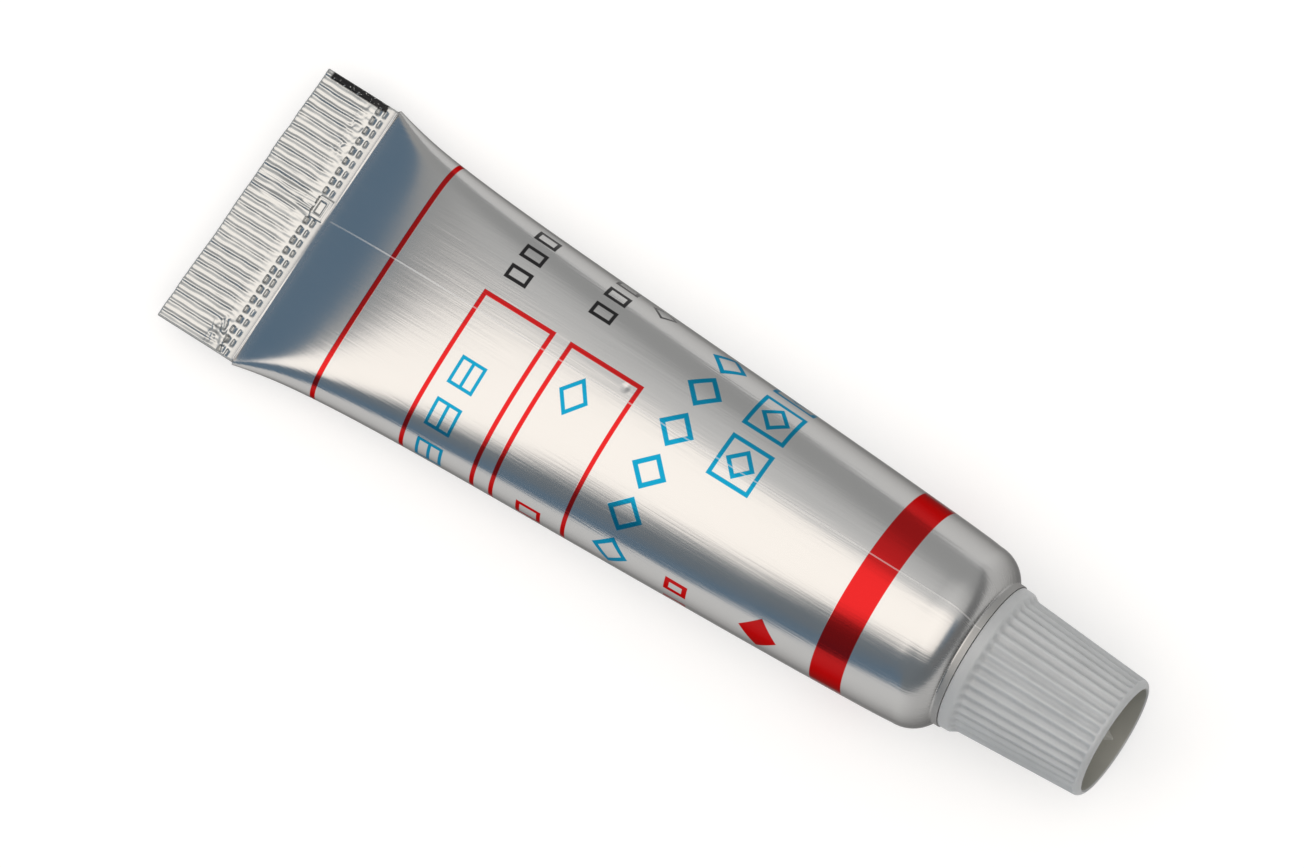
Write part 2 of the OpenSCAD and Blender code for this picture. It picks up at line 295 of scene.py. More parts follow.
class StudioLight(bpy.types.PropertyGroup):
    """The soft studio, drawn on a ceiling one unit above the tube: x towards the cap and y across the tube"""
    lowest: number("Lowest height", 0.03, "Height under which the studio stays the same, down to the horizon")
    tail_edge: pair("Light's tail edge", (-1.21, -1.07), "Soft edge of the overhead light beyond the tail")
    cap_edge: pair("Light's cap edge", (0.98, 0.84), "Soft edge of the overhead light beyond the cap")
    steep_line: pair("Steep line", (1.55, 1.26), "Slope and height of the light's far side next to the tail")
    gentle_line: pair("Gentle line", (0.62, 0.665), "Slope and height of the light's far side further along")
    far_limit: number("Far limit", 0.38, "How far across the tube the light's far side lies at most")
    far_edge: pair("Light's far edge", (0.16, -0.2), "Soft edge about the light's far side")
    near_line: pair("Near line", (2.7, 0.5), "Slope and height of the light's near side")
    near_limits: pair("Near limits", (-1.25, -0.74), "Where the light's near side lies at least and at most")
    near_edge: pair("Light's near edge", (-0.22, 0.22), "Soft edge about the light's near side")
    wall_tail: pair("Wall's tail edge", (-1.18, -1.03), "Soft edge of the wall beyond the tail")
    wall_back: pair("Wall's back", (0.8, 1.6), "Where the wall reaches round behind the tail")
    wall_edge: pair("Wall's near edge", (-0.1, 0.1), "Soft edge of the wall about the light's far side")
    glow_reach: pair("Glow's reach", (1.7, 0.0), "How far past the light its glow shows on the wall")
    glow_tail: pair("Glow's tail edge", (-0.75, -0.5), "Soft edge of the glow beyond the tail")
    cap_wall: pair("Cap wall", (1.3, 1.9), "Soft edge of the grey wall beyond the cap")
    cap_wall_near: pair("Cap wall's near edge", (-2.5, -1.2), "Soft near edge of that wall")
    side_near: pair("Side's edge", (0.0, -0.7), "Soft edge of the side that the camera looks from")
    side_tail: pair("Side's tail edge", (-1.0, -0.6), "Soft edge of that side beyond the tail")
    light: colour("Light", (2.06, 1.93, 1.8), "Warm light overhead", 4)
    wall: colour("Wall", (0.55, 0.55, 0.545), "Grey wall on the far side")
    glow: colour("Glow", (1.05, 1.04, 1.02), "Glow of the light on the wall", 4)
    dusk: colour("Dusk", (0.18, 0.285, 0.4), "Blue dusk beyond the tail")
    side: colour("Side", (0.262, 0.295, 0.322), "Grey side that the camera looks from")
    cap_side: colour("Cap side", (0.33, 0.33, 0.33), "Grey wall beyond the cap")


def settings():
    return bpy.context.scene


# Shapes


def smooth_step(low, high, value):
    t = np.clip((value - low) / (high - low), 0, 1)
    return t * t * (3 - 2 * t)


class Noise:
    """Smooth seeded noise over a plane, from about -1 to 1."""

    def __init__(self, seed, size=64):
        self.grid = np.random.default_rng(seed).uniform(-1, 1, (size, size))
        self.size = size

    def __call__(self, x, y):
        x, y = np.broadcast_arrays(np.asarray(x, float), np.asarray(y, float))
        i, j = np.floor(x).astype(int), np.floor(y).astype(int)
        u, v = smooth_step(0, 1, x - i), smooth_step(0, 1, y - j)
        corner = lambda a, b: self.grid[(i + a) % self.size, (j + b) % self.size]
        low = corner(0, 0) * (1 - u) + corner(1, 0) * u
        high = corner(0, 1) * (1 - u) + corner(1, 1) * u
        return low * (1 - v) + high * v

    def patches(self, x, y, length, width, row=0):
        """The noise in patches of that length along x and width along y."""
        return self(x / length, y / width + row)

    def line(self, x, length, row):
        """The noise along one of its rows."""
        return self(x / length, row)


def hill(value, middle, reach):
    """1 in the middle, and falling to nothing on both sides."""
    return np.exp(-((value - middle) / reach) ** 2)


def oval_girth(k):
    """Girth of an oval whose half width is 1 and half height is k."""
    return math.pi * (3 * (1 + k) - np.sqrt((3 + k) * (1 + 3 * k)))


class BodyForm:
    """The soft body: flat ovals with a round edge, all of one girth, because the sheet can't stretch."""

    def __init__(self, sizes):
        self.s = sizes
        self.tube_r = sizes.tube_d / 2
        self.tail_half = math.pi * sizes.tube_d / 4 * (1 - sizes.gather_share)
        self.crease_girth_r = sizes.crease_h + (self.tail_half - sizes.crease_h) * 2 / math.pi
        self.girth = FULL_TURN * self.tube_r

    def along(self, x):
        return (x - self.s.tail_l) / (self.s.sleeve_l - self.s.tail_l)

    def flare(self, x):
        return math.exp(-(x - self.s.tail_l) / self.s.flare_l) * (1 - self.along(x))

    def half_width(self, x):
        slow = max(0, 1 - self.along(x)) ** self.s.slow_power
        spread = self.s.slow_share * slow + (1 - self.s.slow_share) * self.flare(x)
        return self.tube_r + (self.tail_half - self.tube_r) * spread

    def girth_r(self, x):
        return self.tube_r - (self.tube_r - self.crease_girth_r) * self.flare(x)

    def crown(self, x):
        u = self.along(x)
        rise = min(1, 2 * u) ** self.s.crown_power
        return (self.s.crown_tail_share + (self.s.crown_mid_share - self.s.crown_tail_share) * rise
                + (1 - self.s.crown_mid_share) * u ** 8)

    def section(self, x, count):
        """count points round the body at x, evenly spaced round its girth from the +Y edge over the top."""
        k = self.crown(x)
        free = 1 - oval_girth(k) / FULL_TURN
        oval = max(0.0, (self.half_width(x) - self.girth_r(x)) / free) if free > 1e-6 else 0.0
        edge = self.girth_r(x) - oval * oval_girth(k) / FULL_TURN
        turn = np.linspace(0, FULL_TURN, 12 * count, endpoint=False)
        a = np.arctan2(math.sqrt(k) * np.sin(turn), np.cos(turn))
        normal = np.hypot(k * np.cos(a), np.sin(a))
        y = oval * np.cos(a) + edge * k * np.cos(a) / normal
        z = k * oval * np.sin(a) + edge * np.sin(a) / normal
        return even_steps(y, z, count)


def even_steps(y, z, count):
    """Points at even steps round a closed line."""
    y, z = np.append(y, y[0]), np.append(z, z[0])
    run = np.concatenate([[0], np.cumsum(np.hypot(np.diff(y), np.diff(z)))])
    steps = np.linspace(0, run[-1], count, endpoint=False)
    return np.interp(steps, run, y), np.interp(steps, run, z)


def round_share(count):
    """Place of each point round a section, as a share of the girth: 0 on top and negative towards +Y."""
    turn = np.arange(count) / count
    return (turn + 0.25) % 1 - 0.5


class TailForm:
    """The flattened tail as two height fields, one for the upper side and one for the lower."""

    def __init__(self, sizes, body):
        self.s = sizes
        self.body = body
        self.half = body.tail_half - sizes.edge_inset
        self.ridge_n = math.floor(2 * (self.half - sizes.edge_inset) / sizes.ridge_pitch)
        self.start = -self.ridge_n * sizes.ridge_pitch / 2
        self.rough = Noise(SEED)
        self.fine = Noise(SEED + 1)
        self.heights = np.random.default_rng(SEED + 2).uniform(0.75, 1.15, 2 * self.ridge_n + 8)
        run = 0.8 * MM
        near, far = (body.section(place, 200)[1].max() for place in (body.s.tail_l, body.s.tail_l + run))
        self.rise = (far - near) / run

    def phase(self, x, y):
        """Which ridge a place lies on, counted from the lower edge, with some sway."""
        slow = self.s.slow_sway * self.rough.patches(x, y, 2.5 * MM, 2.1 * MM)
        quick = self.s.quick_sway * self.fine.patches(x, y, 0.5 * MM, 0.9 * MM)
        return (y - self.start) / self.s.ridge_pitch + slow + quick

    def ridges(self, x, y):
        """The pressed ridges, from about -0.5 in a trough to 0.5 on a crest."""
        p = self.phase(x, y)
        turn = FULL_TURN * p
        wave = 0.5 * np.sin(2 * turn) * (1 + self.s.ridge_odds * np.sin(turn + 0.6)) + 0.25 * np.sin(turn)
        return wave * np.interp(p % len(self.heights), np.arange(len(self.heights)), self.heights)

    def flap_edge(self, y):
        """Where the flap's free edge runs: nearly straight, and jagged near the tail's lower corner."""
        wobble = 0.06 * self.rough.line(y, 1.1 * MM, 3.3) + 0.04 * self.fine.line(y, 0.35 * MM, 1.7)
        jagged = smooth_step(-6.0 * MM, -6.8 * MM, y) * smooth_step(-9.6 * MM, -8.8 * MM, y)
        return self.s.flap_l + MM * (wobble + jagged * (0.3 * self.fine.line(y, 0.5 * MM, 8.2) + 0.1))

    def crumple(self, x, y):
        """A crumpled corner, rough ridges in the middle, nicks near the flap's edge and a fine crinkle."""
        s = self.s
        corner = hill(x, s.corner_x, s.corner_l) * smooth_step(*s.corner_y, y)
        folds = 0.5 - np.abs(self.rough.patches(x + 0.35 * y, y - 0.6 * x, 0.3 * MM, 0.9 * MM))
        rough = hill(y, s.rough_y, s.rough_w) * smooth_step(*s.rough_x, x)
        grit = self.fine.patches(x, y, 2.6 * MM, 0.13 * MM)
        nicked = hill(x, s.nick_x, s.nick_l) * smooth_step(*s.nick_y, y)
        nicks = 0.5 - np.abs(self.fine.patches(x - 0.5 * y, y + 0.4 * x, 0.3 * MM, 0.6 * MM))
        crinkle = self.fine.patches(x, y, 0.55 * MM, 0.17 * MM) * smooth_step(*s.crinkle_x, x)
        return (s.corner_h * corner * folds + s.rough_h * rough * grit + s.nick_h * nicked * nicks
                + s.crinkle_h * crinkle)

    def in_tab(self, x, y):
        """Distance inside the pressed tab's outline, below zero outside it."""
        s = self.s
        return np.minimum(np.minimum(s.tab_w / 2 - np.abs(y - s.tab_y), s.tab_end_x - x), (x - s.tab_x) * 2)

    def tab(self, x, y):
        """The pressed tab: a plate with two grooves inside its edge and a hollow in its middle."""
        s = self.s
        inside = self.in_tab(x, y)
        plate = smooth_step(-0.02 * MM, 0.05 * MM, inside)
        grooves = sum(hill(inside, place, s.tab_groove_w) for place in s.tab_grooves)
        return s.tab_t * (plate - 0.4 * grooves - 1.1 * smooth_step(*s.tab_hollow, inside))

    def pit(self, x, place, slope_l):
        """A dimple's profile, from 0 at its ends to 1 at its deepest place: a short wall and a long slope."""
        return smooth_step(-self.s.pit_wall_l, 0, x - place) * np.clip(1 - (x - place) / slope_l, 0, 1)

    def crease_foot(self, x, slope):
        """Rounds the inner corner between the flat strip and the body's rise, at the distance x from it."""
        reach = self.s.crease_round
        return slope * np.maximum(0, reach - np.abs(x)) ** 2 / (4 * reach)

    def upper(self, x, y):
        """Height of the upper side: the ridged flap, the dimples between crests and the crease strip."""
        s = self.s
        skew = math.tan(s.crease_skew) * y
        slope = smooth_step(s.flap_drop_x + skew / 2, s.flap_l, x)
        step = smooth_step(0.03 * MM, -0.06 * MM, x - self.flap_edge(y))
        shelf = (s.crease_top - s.wall_t / 2) * (1 - slope)
        wave = np.sin(FULL_TURN * self.phase(x, y)) + 0.25 * self.rough.line(y, 0.6 * MM, 2.2)
        crest = smooth_step(-0.35, 0.9, wave)
        pits = s.first_pit_h * self.pit(x - skew, s.first_pit_x, s.first_pit_l)
        pits = pits + s.second_pit_h * self.pit(x - skew, s.second_pit_x, s.second_pit_l)
        pits = pits * (1 + 0.3 * self.rough.patches(y, x, 0.9 * MM, 0.6 * MM, row=4))
        pits = pits * smooth_step(0, -0.08 * MM, self.in_tab(x, y))
        fade = (0.7 + 0.3 * step) * smooth_step(s.first_pit_x + skew, s.flap_l + 0.1 * MM, x)
        height = s.wall_t / 2 + s.flap_t * (0.8 * slope + 0.2 * step) + shelf - (1 - crest) * pits
        height = height + self.ridges(x, y) * s.ridge_h * fade
        height = height + self.crease_foot(x - s.end_x - skew, self.rise)
        return np.maximum(height + self.crumple(x, y), s.wall_t / 4) + self.tab(x, y)

    def lower(self, x, y):
        """Depth of the lower side below the tail's middle plane."""
        s = self.s
        near_crease = smooth_step(s.second_pit_x, s.first_pit_x, x)
        climb = (s.crease_top - s.wall_t / 2) * smooth_step(s.flap_drop_x - 0.4 * MM, s.end_x - 0.3 * MM, x)
        return s.wall_t / 2 + self.ridges(x, y) * s.ridge_h * near_crease + climb

    def section(self, t, count, tip):
        """The tail's section at the share t of its length. tip narrows it to the round fold at the end."""
        share_round = round_share(count)
        over = np.abs(share_round) <= 0.25
        y = self.half * np.where(over, -4 * share_round,
                                 np.sign(share_round) * (4 * np.abs(share_round) - 2))
        start = self.s.start_x + math.tan(self.s.skew) * (y + self.body.tail_half)
        start = start + 0.05 * MM * self.rough.line(y, 0.9 * MM, 9.1)
        finish = self.s.end_x + math.tan(self.s.crease_skew) * y
        x = start + (finish - start) * t
        edge = np.clip((np.abs(y) - (self.half - self.s.edge_round)) / self.s.edge_round, 0, 1)
        side = np.sqrt(np.maximum(0, 1 - edge ** 2))
        top, bottom = self.upper(x, y), -self.lower(x, y)
        middle = (top + bottom) / 2
        near = np.sqrt(np.clip(1 - (1 - np.clip((x - start) / self.s.fold_round, 0, 1)) ** 2, tip ** 2, 1))
        z = middle + (np.where(over, top, bottom) - middle) * side * near
        return x, y, z


class Skin:
    """Collects rings of points, the faces between them and their places on the sheet."""

    def __init__(self):
        self.points, self.places, self.faces, self.count = [], [], [], 0

    def ring(self, x, y, z, place):
        """Adds a ring and returns the numbers of its points. place is where the ring is along the sheet."""
        n = len(y)
        self.points.append(np.stack([np.broadcast_to(x, n), y, z], 1))
        self.places.append(np.stack([np.broadcast_to(place, n), round_share(n)], 1))
        self.count += n
        return np.arange(self.count - n, self.count)

    def join(self, a, b):
        """Quads, or larger faces where ring a has several points for each point of ring b."""
        step = len(a) // len(b)
        for i in range(len(b)):
            run = [a[(i * step + j) % len(a)] for j in range(step + 1)]
            self.faces.append(run + [b[(i + 1) % len(b)], b[i]])

    def close_flat(self, a):
        """Closes a flat ring by joining its upper side to its lower side."""
        n = len(a)
        quarter = n // 4
        top = [a[i] for i in range(0, 2 * quarter + 1)]
        bottom = [a[-i % n] for i in range(0, 2 * quarter + 1)]
        for i in range(2 * quarter):
            face = [bottom[i], bottom[i + 1], top[i + 1], top[i]]
            self.faces.append(list(dict.fromkeys(face)))

    def close_round(self, a, centre, place):
        """Closes a round ring with a fan of faces about its centre."""
        self.points.append(np.array([centre]))
        self.places.append(np.array([[place, 0]]))
        middle = self.count
        self.count += 1
        for i in range(len(a)):
            self.faces.append([a[i], a[(i + 1) % len(a)], middle])


def lay_down(points, body, cap):
    """Turns the tube about Y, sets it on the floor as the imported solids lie, and presses it flat there."""
    axis = frame["joints"][0]["axis"]
    lean = math.atan2(axis[2], axis[0])
    c, s = math.cos(lean), math.sin(lean)
    high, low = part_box("cap")[1].x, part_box("tube")[0].z
    far_x = (cap.end_x - cap.s.end_round) * c + cap.end_round_r * s + cap.s.end_round
    x = points[:, 0] * c - points[:, 2] * s + high - far_x
    lift = body.tube_r * c - body.s.sleeve_l * s + low
    z = points[:, 2] * c + points[:, 0] * s + lift
    return np.stack([x, points[:, 1], np.maximum(z, low)], 1)


class CapForm:
    """Places and radii of the screw cap that follow from its own sizes and from the tube's."""

    def __init__(self, sizes, body):
        self.s = sizes
        self.land_x = body.s.sleeve_l + body.s.shoulder_r
        self.start_x = self.land_x + sizes.rim_gap
        self.end_x = self.start_x + sizes.cap_l
        self.bore_r = body.s.neck_r + sizes.thread_gap
        self.bore_depth = body.s.neck_l + sizes.neck_end_gap - sizes.rim_gap
        self.taper = math.atan((sizes.grip_r - sizes.end_r) / (sizes.cap_l - sizes.rim_h - sizes.rim_slope_h))
        self.end_round_r = (sizes.end_r + sizes.end_round * math.tan(self.taper)
                            - sizes.end_round / math.cos(self.taper))
        self.hollow_r = sizes.end_r - sizes.end_wall
        self.thread_pitch = body.s.thread_pitch

    def outside_r(self, z):
        """Radius over the flutes at the height z above the rim's edge."""
        s = self.s
        slope = s.grip_r - (z - s.rim_h - s.rim_slope_h) * math.tan(self.taper)
        share_down = smooth_step(s.rim_h - 0.1 * MM, s.rim_h + 2 * s.rim_slope_h, z)
        top = s.rim_r - s.rim_draft
        return top + (slope - top) * share_down


def thread(x, turn, start, end, pitch):
    """A right-handed thread's height, from 0 to 1, with run-outs at both of its ends."""
    wave = 0.5 + 0.5 * np.cos(FULL_TURN * (x / pitch) - turn)
    return smooth_step(0.25, 0.8, wave) * smooth_step(start, start + 0.6 * pitch, x) * smooth_step(
        end, end - 0.5 * pitch, x)


def build_object(name, skin, girth, body, cap):
    """A mesh object from a skin, with its places on the sheet as a face corner attribute."""
    points = lay_down(np.concatenate(skin.points), body, cap)
    places = np.concatenate(skin.places) * [1, girth]
    mesh = bpy.data.meshes.new(name)
    mesh.from_pydata(points.tolist(), [], [[int(i) for i in face] for face in skin.faces])
    mesh.update()
    corner = np.zeros(len(mesh.loops), int)
    mesh.loops.foreach_get("vertex_index", corner)
    starts = np.zeros(len(mesh.polygons), int)
    mesh.polygons.foreach_get("loop_start", starts)
    at = places[corner]
    high = np.maximum.reduceat(at[:, 1], starts)
    low = np.minimum.reduceat(at[:, 1], starts)
    sizes = np.diff(np.append(starts, len(corner)))
    crossing = np.repeat(high - low > girth / 2, sizes)
    at[:, 1] = np.where(crossing & (at[:, 1] < 0), at[:, 1] + girth, at[:, 1])
    sheet = mesh.attributes.new(SHEET, "FLOAT_VECTOR", "CORNER")
    sheet.data.foreach_set("vector", np.column_stack([at, np.zeros(len(at))]).astype(np.float32).ravel())
    mesh.polygons.foreach_set("use_smooth", np.ones(len(mesh.polygons), bool))
    made = bpy.data.objects.new(name, mesh)
    bpy.context.scene.collection.objects.link(made)
    return made


# Nodes


class Maths:
    """Writes arithmetic as Math nodes in a node tree."""

    def __init__(self, tree):
        self.tree = tree

    def node(self, kind, **values):
        made = self.tree.nodes.new(kind)
        for key, value in values.items():
            setattr(made, key, value)
        return made

    def link(self, source, socket):
        """Links an output to a socket, or sets the socket to a plain value."""
        if hasattr(source, "is_output"):
            self.tree.links.new(source, socket)
        else:
            socket.default_value = source

    def do(self, operation, *values):
        made = self.node("ShaderNodeMath", operation=operation)
        for value, socket in zip(values, made.inputs):
            self.link(value, socket)
        return made.outputs[0]

    def add(self, a, b):
        return self.do("ADD", a, b)

    def sub(self, a, b):
        return self.do("SUBTRACT", a, b)

    def mul(self, a, b):
        return self.do("MULTIPLY", a, b)

    def sum_of(self, start, *terms):
        """The sum of start and of each (value, amount) pair's product."""
        result = start
        for value, amount in terms:
            result = self.add(result, self.mul(value, amount))
        return result

    def largest(self, *values):
        result = values[0]
        for value in values[1:]:
            result = self.do("MAXIMUM", result, value)
        return result

    def step(self, value, low, high):
        """0 below low, 1 above high and smooth in between, with high under low for a falling step."""
        made = self.node("ShaderNodeMapRange", interpolation_type="SMOOTHSTEP")
        self.link(value, made.inputs["Value"])
        self.link(low, made.inputs["From Min"])
        self.link(high, made.inputs["From Max"])
        return made.outputs["Result"]

    def inside(self, distance, soft):
        """1 where a signed distance is below zero."""
        return self.step(distance, soft, -soft)

    def box(self, u, v, half_u, half_v):
        """Signed distance to a box about the origin."""
        return self.largest(*(self.sub(self.do("ABSOLUTE", place), half)
                              for place, half in ((u, half_u), (v, half_v))))

    def diamond(self, u, v, half_u, half_v):
        """Signed distance to a diamond about the origin."""
        slant = half_u * half_v / math.hypot(half_u, half_v)
        across = self.add(self.mul(self.do("ABSOLUTE", u), slant / half_u),
                          self.mul(self.do("ABSOLUTE", v), slant / half_v))
        return self.sub(across, slant)

    def outline(self, distance, stroke):
        """Turns a filled shape into a line of that width along the inside of its edge."""
        return self.sub(self.do("ABSOLUTE", self.add(distance, stroke / 2)), stroke / 2)

    def bump(self, shader, height, strength, distance):
        """Feeds a height to a shader's Normal."""
        made = self.node("ShaderNodeBump")
        made.inputs["Strength"].default_value = strength
        made.inputs["Distance"].default_value = distance
        self.link(height, made.inputs["Height"])
        self.link(made.outputs[0], shader.inputs["Normal"])

    def clamp(self, value, low, high):
        return self.do("MINIMUM", self.do("MAXIMUM", value, low), high)

    def mix(self, amount, a, b):
        made = self.node("ShaderNodeMix", data_type="RGBA")
        self.link(amount, made.inputs[0])
        self.link(a, made.inputs[6])
        self.link(b, made.inputs[7])
        return made.outputs[2]


def new_group(name, inputs, outputs):
    """An empty shader node group. inputs and outputs are lists of (name, kind, default)."""
    tree = bpy.data.node_groups.new(name, "ShaderNodeTree")
    for label, kind, default in inputs:
        socket = tree.interface.new_socket(label, in_out="INPUT", socket_type=kind)
        socket.default_value = default
    for label, kind in outputs:
        tree.interface.new_socket(label, in_out="OUTPUT", socket_type=kind)
    return tree, tree.nodes.new("NodeGroupInput"), tree.nodes.new("NodeGroupOutput")


def place_group(tree, group, **values):
    """Puts a node group into a tree, with values for its inputs."""
    made = tree.nodes.new("ShaderNodeGroup")
    made.node_tree = group
    maths = Maths(tree)
    for key, value in values.items():
        maths.link(value, made.inputs[key.replace("_", " ").capitalize()])
    return made


def handling_group():
    """Slow clouds and fine grain that handling leaves on any surface."""
    group, given, out = new_group(
        "Handling marks",
        [("Place", "NodeSocketVector", (0, 0, 0)), ("Cloud scale", "NodeSocketFloat", 200.0),
         ("Grain scale", "NodeSocketFloat", 4000.0)],
        [("Clouds", "NodeSocketFloat"), ("Grain", "NodeSocketFloat")])
    for scale, name, detail in (("Cloud scale", "Clouds", 3), ("Grain scale", "Grain", 2)):
        noise = group.nodes.new("ShaderNodeTexNoise")
        noise.inputs["Detail"].default_value = detail
        group.links.new(given.outputs["Place"], noise.inputs["Vector"])
        group.links.new(given.outputs[scale], noise.inputs["Scale"])
        group.links.new(noise.outputs["Fac"], out.inputs[name])
    return group


def streaks_group():
    """Fine lines drawn along the tube when it was pressed."""
    group, given, out = new_group(
        "Drawn streaks",
        [("Along", "NodeSocketFloat", 0.0), ("Round", "NodeSocketFloat", 0.0),
         ("Width", "NodeSocketFloat", 0.0001), ("Length", "NodeSocketFloat", 0.004)],
        [("Streaks", "NodeSocketFloat")])
    maths = Maths(group)
    place = maths.node("ShaderNodeCombineXYZ")
    maths.link(maths.do("DIVIDE", given.outputs["Along"], given.outputs["Length"]), place.inputs[0])
    maths.link(maths.do("DIVIDE", given.outputs["Round"], given.outputs["Width"]), place.inputs[1])
    noise = group.nodes.new("ShaderNodeTexNoise")
    noise.inputs["Scale"].default_value = 1
    noise.inputs["Detail"].default_value = 3
    group.links.new(place.outputs[0], noise.inputs["Vector"])
    group.links.new(noise.outputs["Fac"], out.inputs["Streaks"])
    return group


def print_group(sizes):
    """The print as masks: red rings, band and frames, and rows of simple blue, black and red shapes."""
    group, given, out = new_group(
        "Printed marks",
        [("Along", "NodeSocketFloat", 0.0), ("Round", "NodeSocketFloat", 0.0)],
        [("Red", "NodeSocketFloat"), ("Blue", "NodeSocketFloat"), ("Black", "NodeSocketFloat")])
    m = Maths(group)
    u, v = given.outputs["Along"], given.outputs["Round"]

    def draw(kind, at_u, at_v, half_u, half_v, stroke):
        """A box or a diamond, filled or, with a stroke, as an outline."""
        distance = (m.box if kind == "box" else m.diamond)(at_u, at_v, half_u, half_v)
        return m.outline(distance, stroke) if stroke else distance

    def shape(kind, along, around, long, wide, stroke=0):
        """One shape, with its place and size in millimetres."""
        at_u, at_v = m.sub(u, along * MM), m.sub(v, around * MM)
        return draw(kind, at_u, at_v, long / 2 * MM, wide / 2 * MM, stroke * MM)

    def row(kind, along, first, pitch, count, long, wide, stroke=0):
        """A row of like shapes round the tube, in millimetres, made by folding the place into one cell."""
        local = m.sub(v, first * MM)
        cell = m.do("ROUND", m.do("DIVIDE", m.clamp(local, 0, (count - 1) * pitch * MM), pitch * MM))
        local = m.sub(local, m.mul(cell, pitch * MM))
        return draw(kind, m.sub(u, along * MM), local, long / 2 * MM, wide / 2 * MM, stroke * MM)

    def ring(start, width):
        return m.sub(m.do("ABSOLUTE", m.sub(u, start + width / 2)), width / 2)

    def frame_box(start, long):
        middle_v = (sizes.frame_top_v + sizes.frame_end_v) / 2
        half_v = (sizes.frame_end_v - sizes.frame_top_v) / 2
        return draw("box", m.sub(u, start + long / 2), m.sub(v, middle_v), long / 2, half_v, sizes.line_w)

    def union(*shapes):
        result = shapes[0]
        for other in shapes[1:]:
            result = m.do("MINIMUM", result, other)
        return result

    red = union(
        ring(sizes.thin_ring_x, sizes.thin_ring_w),
        ring(sizes.band_x, sizes.band_w),
        frame_box(sizes.first_frame_x, sizes.first_frame_l),
        frame_box(sizes.second_frame_x, sizes.second_frame_l),
        shape("box", along=28.6, around=9.4, long=1.9, wide=1.6, stroke=0.3),
        row("box", along=39.9, first=8.2, pitch=2.3, count=3, long=1.7, wide=1.3, stroke=0.36),
        shape("diamond", along=46.2, around=8.0, long=2.9, wide=3.2))
    blue = union(
        row("diamond", along=34.85, first=-11.4, pitch=3.28, count=8, long=2.75, wide=2.7, stroke=0.34),
        row("box", along=39.75, first=-10.2, pitch=4.2, count=3, long=3.3, wide=3.3, stroke=0.3),
        row("diamond", along=39.75, first=-10.2, pitch=4.2, count=3, long=2.3, wide=2.3, stroke=0.3),
        row("box", along=20.85, first=2.7, pitch=3.2, count=3, long=2.0, wide=2.1, stroke=0.24),
        row("box", along=20.85, first=2.7, pitch=3.2, count=3, long=0.24, wide=2.1),
        shape("diamond", along=27.8, around=0.2, long=2.3, wide=2.9, stroke=0.28))
    black = union(
        row("box", along=20.0, first=-11.85, pitch=1.78, count=5, long=1.75, wide=1.1, stroke=0.26),
        row("box", along=26.15, first=-11.05, pitch=1.78, count=4, long=1.75, wide=1.1, stroke=0.26),
        row("diamond", along=29.2, first=-11.2, pitch=2.2, count=2, long=2.0, wide=1.7, stroke=0.2))
    for name, distance in (("Red", red), ("Blue", blue), ("Black", black)):
        m.link(m.inside(distance, sizes.soft), out.inputs[name])
    return group


def sheet_place(tree):
    """The place on the sheet, along the tube and round it."""
    attribute = tree.nodes.new("ShaderNodeAttribute")
    attribute.attribute_name = SHEET
    split = tree.nodes.new("ShaderNodeSeparateXYZ")
    tree.links.new(attribute.outputs["Vector"], split.inputs[0])
    return split.outputs[0], split.outputs[1]


def rgba(value):
    return (*value[:3], 1)


def new_material(name):
    made = bpy.data.materials.new(name)
    made.use_nodes = True
    tree = made.node_tree
    tree.nodes.clear()
    shader = tree.nodes.new("ShaderNodeBsdfPrincipled")
    output = tree.nodes.new("ShaderNodeOutputMaterial")
    tree.links.new(shader.outputs[0], output.inputs[0])
    return made, tree, shader


